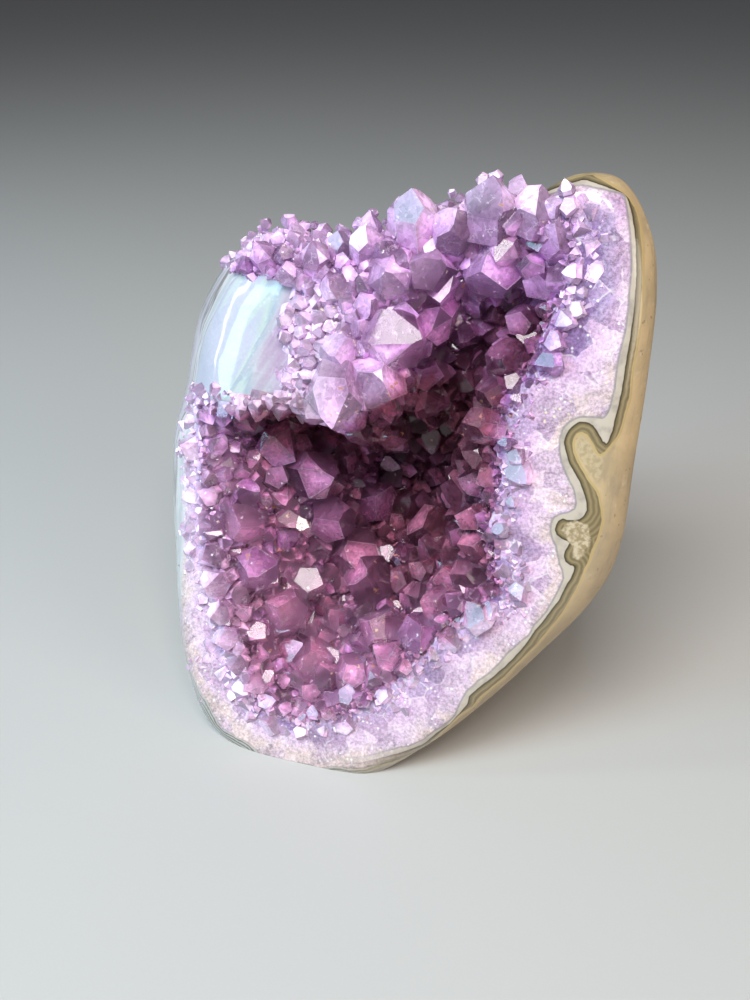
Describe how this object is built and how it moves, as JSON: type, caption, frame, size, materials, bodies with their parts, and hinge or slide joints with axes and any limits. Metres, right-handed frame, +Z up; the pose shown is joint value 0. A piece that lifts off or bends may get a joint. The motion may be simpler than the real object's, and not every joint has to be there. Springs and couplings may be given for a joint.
{
  "type": "cut-base amethyst geode",
  "caption": "Natural half nodule of stone with a polished face round a hollow lined with purple quartz crystals, standing on its flat cut base.",
  "frame": {"origin": "middle of the flat cut base, on the surface that the geode stands on", "axes": "+Z up, -Z out of the base; the hollow opens towards -Y, with its face leaning back 20 degrees; +X to the right of someone who looks into the hollow"},
  "size_m": [0.1239, 0.1141, 0.1454],
  "materials": {
    "stone": "polished face of pale lavender quartz in an agate and tan stone rind",
    "amethyst": "glossy clear to cloudy purple crystal faces"
  },
  "bodies": {
    "root": {"stone_shell": "stone", "amethyst_crust": "amethyst"}
  },
  "joints": []
}
